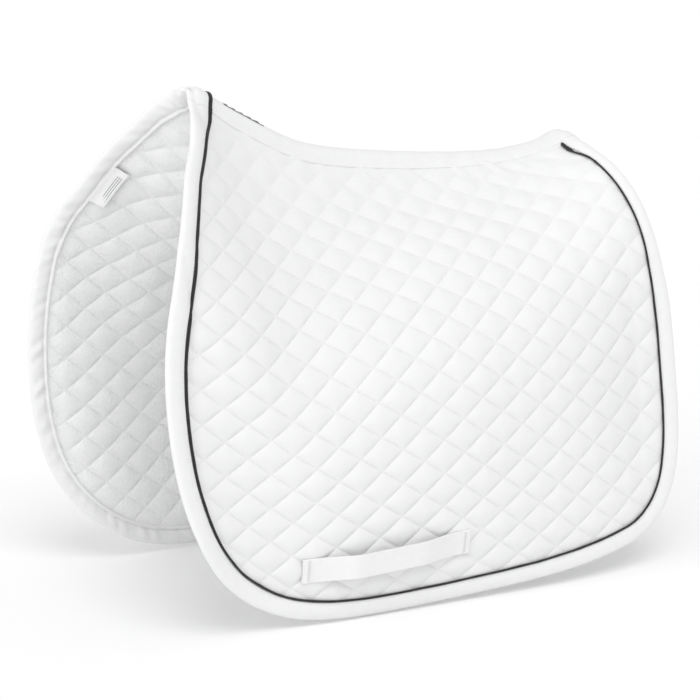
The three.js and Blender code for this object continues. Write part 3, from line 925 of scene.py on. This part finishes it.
def band_height(x, arc):
    """The plain band is softly crowned, turned under at its edges and a little wrinkled."""
    reach = np.abs(arc)
    roll = np.sqrt(np.clip(1 - (reach / (BAND_HALF + 0.4)) ** 6, 0, 1))
    pucker = np.exp(-((reach - BAND_HALF) / 7) ** 2)
    pucker = 0.45 * pucker * ripples(x + arc * 0.8, arc * 0.3, scale=13, seed=33)
    wrinkle = 0.3 * ripples(x * 0.8, arc * 0.35, scale=21, seed=31)
    wrinkle = wrinkle + 0.14 * ripples(x, arc, scale=9, seed=32) + pucker
    return BAND_FOOT + (BAND_CROWN + wrinkle) * roll


def seam_tape_height(x, arc):
    roll = np.sqrt(np.clip(1 - (np.abs(arc) / (SEAM_TAPE_HALF + 0.5)) ** 8, 0, 1))
    return BAND_FOOT + SEAM_TAPE_CROWN * roll + 0.15 * ripples(x, arc, scale=19, seed=41)


def build_spine():
    band = spine_sheet("spine_band", BAND_HALF, band_height, BAND_THICKNESS, 1, "plain")
    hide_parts("spine_outer_band", "spine_padding")
    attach(band, "spine")
    seam_tape = spine_sheet("spine_seam_tape_cloth", SEAM_TAPE_HALF, seam_tape_height,
                            SEAM_TAPE_THICKNESS, -1, "tape")
    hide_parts("spine_seam_tape")
    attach(seam_tape, "spine")


# ---- hem tape

def tape_section():
    """(inset, height) round the folded tape: outside from the piping to the edge, then back."""
    outside = [(HEM_WIDTH, 2.6), (19.2, 3.9), (18.2, 4.5), (17.0, 4.1), (15.6, 4.5), (13, 5.0),
               (9, 5.2), (5, 5.0), (1, 4.4), (-1.6, 3.2), (-2.9, 1.6), (-3.3, 0)]
    inside = [(-2.9, -1.6), (-1.6, -3.2), (1, -4.5), (5, -5.2), (9, -5.4), (12, -5.0),
              (13.8, -3.9), (14.6, -3.4), (15.4, -4.0), (16.2, -5.0), (17.6, -5.4), (19, -5.1),
              (HEM_WIDTH, -3.9), (HEM_WIDTH - 0.2, -2.4)]
    back = [(17, -1.6), (11, -1.8), (3, -1.6), (0.5, 0), (3, 1.6), (11, 1.8)]
    return np.array(outside + inside + back, float)


# The tape's wrinkles: where across it they are strongest, from which heights, and how high.
TAPE_MIDDLE = 8
TAPE_SPREAD = 7
OUTER_FROM = 2.5
INNER_FROM = -3
OUTER_RIPPLE = 0.42
INNER_RIPPLE = 1.15


def tape_rings(distance, side):
    """Rings round the tape, wrinkled aslant, more so on the inside; also their distances."""
    section = tape_section()
    x, arc = hem_frame(distance, section[:, 0], side)
    inset, height = (np.repeat(section[None, :, k], len(distance), 0) for k in (0, 1))
    along = distance[:, None] + 0 * inset
    body = np.exp(-((inset - TAPE_MIDDLE) / TAPE_SPREAD) ** 2)
    swing = 0.5 + 0.5 * ripples(along, 0 * along, scale=160, seed=53 + side)
    slant = ripples(along + 0.9 * inset, 0.25 * inset, scale=15, seed=51 + side)
    outer = OUTER_RIPPLE * slant * body * swing
    outer = outer + 0.16 * ripples(along, inset, scale=34, seed=57)
    inner = INNER_RIPPLE * np.abs(slant) ** 0.8 * np.sign(slant) * body * (0.5 + swing)
    inner = inner + 0.2 * ripples(along, inset, scale=40, seed=58)
    height = height + np.where(height > OUTER_FROM, outer, 0)
    height = height - np.where(height < INNER_FROM, inner, 0)
    return point_at(x, side * arc, height), along


def tape_piece(name, rings, along):
    pattern = flat_pattern(along, around_section(tape_section()))
    tape = swept(name, rings, MATERIALS["tape"], pattern)
    return tape


def hem_stitches(name, side, inset, height, sign):
    """A row of stitches along the tape, outside where sign is 1 and inside where it is -1."""
    front, rear = hem_distance(BAND_HALF, False), hem_distance(BAND_HALF, True)
    distance = np.arange(front, rear, STITCH_PITCH)
    x, arc = hem_frame(distance, [inset], side)
    centres = point_at(x, side * arc, sign * height)[:, 0]
    above = point_at(x, side * arc, sign * (height + 1))[:, 0]
    ahead_x, ahead_arc = hem_frame(np.minimum(distance + 0.5, HEM_LENGTH), [inset], side)
    ahead = point_at(ahead_x, side * ahead_arc, sign * height)[:, 0]
    return capsules(name, centres, ahead, above, STITCH_LENGTH, STITCH_RADIUS,
                    MATERIALS["thread"])


# ---- piping

CORD_TURN = np.arange(12) * math.pi / 6


def piping_rings(distance, side, radius=PIPING_RADIUS, wander=0.0):
    """Rings of a cord along the tape's inner edge. wander moves it further into the pad."""
    radius, wander = (np.broadcast_to(k, len(distance))[:, None] for k in (radius, wander))
    inset = PIPING_INSET - PIPING_SINK + wander + radius * np.cos(CORD_TURN)
    x, arc = hem_frame(distance, inset, side)
    return point_at(x, side * arc, PIPING_HEIGHT + radius * np.sin(CORD_TURN))


def cord_piece(name, rings, along):
    pattern = flat_pattern(along, CORD_TURN * PIPING_RADIUS)
    cord = swept(name, rings, MATERIALS["piping"], pattern)
    return cord


def flap_piping(distance, side):
    """Rings that thin towards the rear, with a folded knot where the cord ends."""
    thinner = (PIPING_REAR_RADIUS - PIPING_RADIUS) * smooth(distance, *PIPING_THINNING)
    unevenness = 0.08 * ripples(distance, 0 * distance, scale=21, seed=61 + side)
    radius = (PIPING_RADIUS + thinner) * (1 + unevenness)
    away = distance[-1] - distance
    knot = 1 - smooth(away, 14, 24) + 0.5 * np.exp(-((away - 52) / 3) ** 2)
    radius = radius * (1 + END_KNOT * knot) * np.sqrt(np.clip(away / 2.2, 0.02, 1))
    wander = 0.35 * ripples(distance, 0 * distance, scale=60, seed=67 + side)
    wander = wander + END_DIP * np.exp(-((away - 22) / 11) ** 2)
    return piping_rings(distance, side, radius, wander)


def build_hem(prefix, side):
    front, rear = hem_distance(BAND_HALF, False), hem_distance(BAND_HALF, True)
    distance = np.linspace(front, rear, int((rear - front) / TAPE_STEP))
    tape = tape_piece(prefix + "_hem_tape", *tape_rings(distance, side))
    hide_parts(prefix + "_binding")
    cord_end = hem_distance(NEAR_PIPING_END if side < 0 else FAR_PIPING_END, True)
    distance = np.linspace(front, cord_end, PIPING_RINGS)
    cord = cord_piece(prefix + "_piping_cord", flap_piping(distance, side), distance[:, None])
    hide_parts(prefix + "_piping")
    outside = hem_stitches(prefix + "_tape_stitches", side, *OUTSIDE_STITCHES, 1)
    inside = hem_stitches(prefix + "_lip_stitches", side, *LIP_STITCHES, -1)
    for obj in (tape, cord, outside, inside):
        bend(obj)


def crest_rings(make, rear):
    """Rings from the near edge of the band over the crest to its far edge, and distances."""
    stop = hem_distance(BAND_HALF, rear)
    near = np.linspace(stop, HEM_LENGTH if rear else 0, CREST_RINGS)
    rings = np.concatenate([make(near, -1)[:-1], make(near[::-1], 1)])
    return rings, np.arange(len(rings))[:, None] * CREST_RING_STEP


def build_crest():
    for label, rear in (("front", False), ("rear", True)):
        rings, along = crest_rings(lambda d, side: tape_rings(d, side)[0], rear)
        tape = tape_piece(label + "_crest_tape", rings, along)
        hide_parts(label + "_crest_binding")
        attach(tape, "spine")
    cord = cord_piece("front_crest_cord", *crest_rings(piping_rings, False))
    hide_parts("front_crest_piping")
    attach(cord, "spine")


# ---- girth loop

def loop_points(side, distance, across, height):
    """Points of the webbing at a distance along it and across it, at a height over its
    underside, and the direction in which the loop stands off."""
    def on_flap(d, w, h):
        x = LOOP_X + d
        return point_at(x, side * arc_of(x, LOOP_V + LOOP_FALL * d + w), h)

    centre = on_flap(0.0, 0.0, 0.0)
    outward = on_flap(0.0, 0.0, 1.0) - centre
    along = unit(on_flap(1.0, 0.0, 0.0) - on_flap(-1.0, 0.0, 0.0))
    down = np.cross(outward, along) * side
    reach = np.abs(distance)
    rise = LOOP_RISE * (1 - smooth(reach, *LOOP_LANDING))
    sunk = LOOP_BASE - LOOP_SINK * smooth(reach, *LOOP_SINKING)
    lying = on_flap(distance, across, sunk) + outward * (rise + height)[..., None]
    flat = (centre + along * distance[..., None] + down * across[..., None]
            + outward * (LOOP_BASE + LOOP_RISE + height)[..., None])
    turn = smooth(reach, *LOOP_BEND)[..., None]
    return flat * (1 - turn) + lying * turn, outward


def webbing_section():
    """(across, height) round the webbing, with slightly thicker selvedges."""
    half = LOOP_WIDTH / 2
    under = [(half, 0.35), (half - 0.2, 0.1), (half - 1.2, 0), (0, 0)]
    over = [(half, 1.05), (half - 0.2, 1.35), (half - 1.2, 1.45), (half - 4, 1.4), (0, 1.4)]
    section = [(-a, h) for a, h in under[:-1]] + under[::-1]
    return np.array(section + over + [(-a, h) for a, h in over[-2::-1]])


def build_girth_loop(prefix, side):
    section = webbing_section()
    distance = np.arange(-LOOP_LENGTH / 2, LOOP_LENGTH / 2 + 0.1, LOOP_STEP)
    across, height = (np.repeat(section[None, :, k], len(distance), 0) for k in (0, 1))
    along = distance[:, None] + 0 * across
    rib = RIB_HEIGHT * np.cos(2 * math.pi * along / RIB_PITCH)
    folded = END_FOLD * smooth(np.abs(along), *END_FOLD_RAMP)
    height = height + np.where(height > WEBBING_TOP, rib + folded, 0)
    rings, outward = loop_points(side, along, across, height)
    pattern = flat_pattern(along, around_section(section))
    strap = swept(prefix + "_girth_webbing", rings, MATERIALS["webbing"], pattern)
    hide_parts(prefix + "_girth_loop")
    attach(strap, prefix + "_flap")
    for end, label in ((-1, "front"), (1, "rear")):
        at = np.arange(-LOOP_WIDTH / 2 + 2, LOOP_WIDTH / 2 - 1.9, TACK_PITCH)
        place = np.full(len(at), end * (LOOP_LENGTH / 2 - TACK_INSET))
        height = np.full(len(at), TACK_HEIGHT)
        centres, outward = loop_points(side, place, at, height)
        beside, _ = loop_points(side, place + 0.5, at, height)
        threads = capsules(f"{prefix}_bar_tack_{label}", centres, beside, centres + outward,
                           TACK_LENGTH, TACK_RADIUS, MATERIALS["thread"])
        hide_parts(f"{prefix}_loop_tack_{label}")
        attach(threads, prefix + "_flap")


# ---- care label

def build_care_label():
    """The label comes out from under the tape's lip and curls away from the lining."""
    start = hem_distance(LABEL_ARC, False)
    long_steps, deep_steps = LABEL_GRID
    deep = LABEL_WIDTH + LABEL_TUCK
    distance = np.linspace(start, start + LABEL_LENGTH, long_steps)
    share = np.linspace(0, 1, deep_steps)
    x, arc = hem_frame(distance, LABEL_INSET + deep * share, 1)
    curl = smooth(share, 0.2, 1.0) * np.linspace(0.6, 1, long_steps)[:, None]
    height = -(LAYER_HALF + LABEL_LIFT + LABEL_CURL * curl)
    top = point_at(x, arc, height - LABEL_HALF_THICKNESS).reshape(-1, 3)
    back = point_at(x, arc, height + LABEL_HALF_THICKNESS).reshape(-1, 3)
    pattern = flat_pattern((distance - start)[:, None], deep * share)
    label = sheet_piece("folded_care_label", top, back, grid_quads(long_steps, deep_steps),
                        MATERIALS["label"], pattern)
    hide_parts("care_label")
    bend(label)


# ---- stitched motif

def build_motif():
    """A row of plain lozenges and a line in satin stitch over the crest."""
    rows = []
    for k in range(LOZENGES):
        middle = MOTIF_X + LOZENGE_START + k * LOZENGE_PITCH
        for step in np.arange(-LOZENGE_HALF, LOZENGE_HALF + 0.1, SATIN_PITCH):
            width = LOZENGE_WIDTH * (1 - abs(step) / (LOZENGE_HALF + 1))
            rows.append((middle + step, LOZENGE_ARC, width))
    for step in np.arange(0, MOTIF_LENGTH - 1, LINE_PITCH):
        rows.append((MOTIF_X + 1 + step, LINE_ARC, LINE_WIDTH))
    x, arc, length = (np.array(column) for column in zip(*rows))
    height = band_height(x, arc) + MOTIF_LIFT
    centres = point_at(x, arc, height)
    above = point_at(x, arc, height + 1)
    beside = point_at(x, arc + 0.5, height)
    motif = capsules("crest_motif", centres, beside, above, length, SATIN_RADIUS,
                     MATERIALS["motif"])
    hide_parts("withers_emblem")
    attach(motif, "spine")


# ---- camera, lights and floor

def build_camera():
    turn, rise = math.radians(CAMERA_TURN), math.radians(CAMERA_RISE)
    level = math.cos(rise)
    back = Vector((-math.sin(turn) * level, -math.cos(turn) * level, math.sin(rise)))
    data = bpy.data.cameras.new("camera")
    data.lens = CAMERA_LENS
    camera = bpy.data.objects.new("camera", data)
    camera.location = Vector(CAMERA_TARGET) + back * CAMERA_DISTANCE
    camera.rotation_euler = back.to_track_quat("Z", "Y").to_euler()
    bpy.context.scene.collection.objects.link(camera)
    bpy.context.scene.camera = camera


def sun_light(name, toward, power, degrees):
    data = bpy.data.lights.new(name, "SUN")
    data.energy = power
    data.angle = math.radians(degrees)
    light = bpy.data.objects.new(name, data)
    light.rotation_euler = Vector(toward).to_track_quat("Z", "Y").to_euler()
    bpy.context.scene.collection.objects.link(light)


def build_studio():
    points = np.array([(-1, -1, 0), (1, -1, 0), (1, 1, 0), (-1, 1, 0)]) * FLOOR_HALF
    points = (points + (0, 0, cad_low[2] - FLOOR_GAP)) / MM
    floor = make_piece("floor", points, [[0, 1, 2, 3]], floor_material())
    world = bpy.data.worlds.new("studio")
    world.use_nodes = True
    sky = world.node_tree.nodes["Background"]
    sky.inputs["Color"].default_value = (1, 1, 1, 1)
    sky.inputs["Strength"].default_value = SKY_STRENGTH
    bpy.context.scene.world = world
    for name, (toward, power, degrees) in SUNS.items():
        sun_light(name, toward, power, degrees)
    view = bpy.context.scene.view_settings
    view.view_transform = "Standard"
    view.look = "None"
    view.exposure = 0.0


# ---- assembly

build_camera()
MATERIALS = {
    "cotton": cotton_material(), "plain": plain_cotton_material(), "terry": terry_material(),
    "tape": tape_material(), "piping": piping_material(), "webbing": webbing_material(),
    "thread": thread_material("sewing_thread", (0.88, 0.88, 0.875), 0.5),
    "motif": thread_material("embroidery_thread", (0.05, 0.05, 0.058), 0.4),
    "label": label_material()}
RELIEF = patch_relief()
build_spine()
build_crest()
for prefix, side in SIDES.items():
    quilted_flap(prefix, side)
    build_hem(prefix, side)
    build_girth_loop(prefix, side)
build_care_label()
build_motif()
build_studio()
